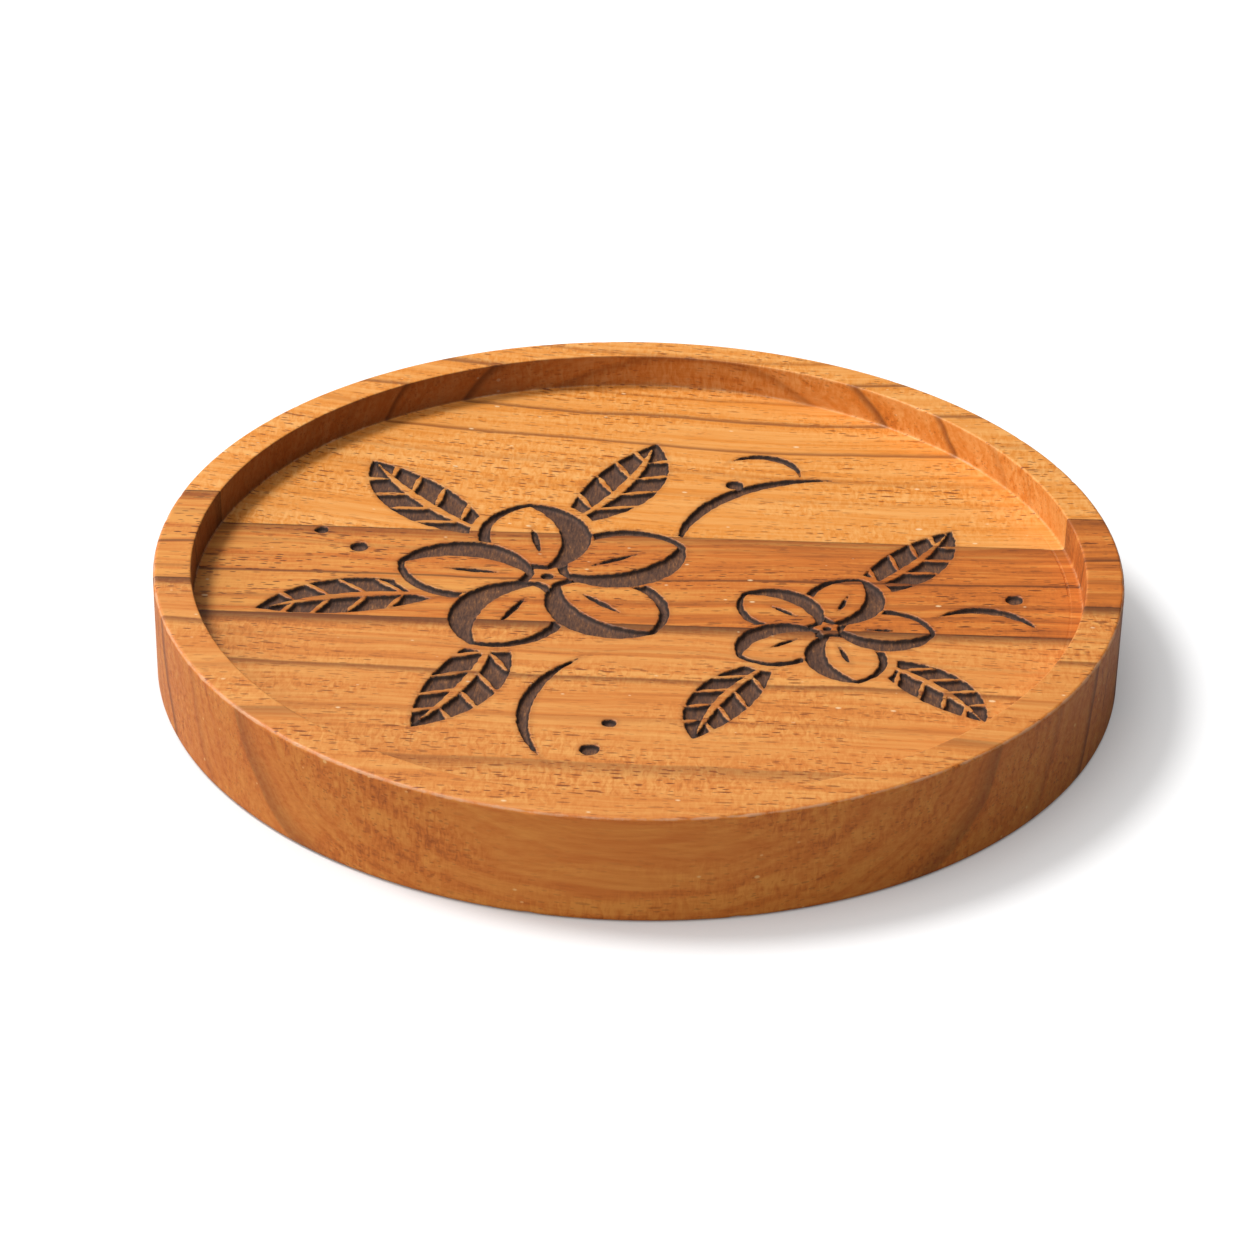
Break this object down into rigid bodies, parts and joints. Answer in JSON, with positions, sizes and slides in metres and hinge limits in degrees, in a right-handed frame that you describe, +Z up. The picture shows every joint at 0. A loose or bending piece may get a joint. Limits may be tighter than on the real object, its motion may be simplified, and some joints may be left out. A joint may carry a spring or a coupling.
{
  "type": "drink coaster",
  "caption": "Round solid wood drink coaster glued from staves, with a raised rim, a flat recess and a burnt carving of blossoms and leaves.",
  "frame": {"origin": "centre of the flat underside, on the table", "axes": "+Z up out of the recess, +X along the grain and the glue joints, +Y from the front stave to the back stave"},
  "size_m": [0.1, 0.1, 0.0116],
  "materials": {
    "light_teak": "sanded and oiled",
    "dark_teak": "sanded and oiled",
    "warm_teak": "sanded and oiled"
  },
  "bodies": {
    "root": {"back_stave": "light_teak", "middle_stave": "dark_teak", "front_stave": "warm_teak"}
  },
  "joints": []
}
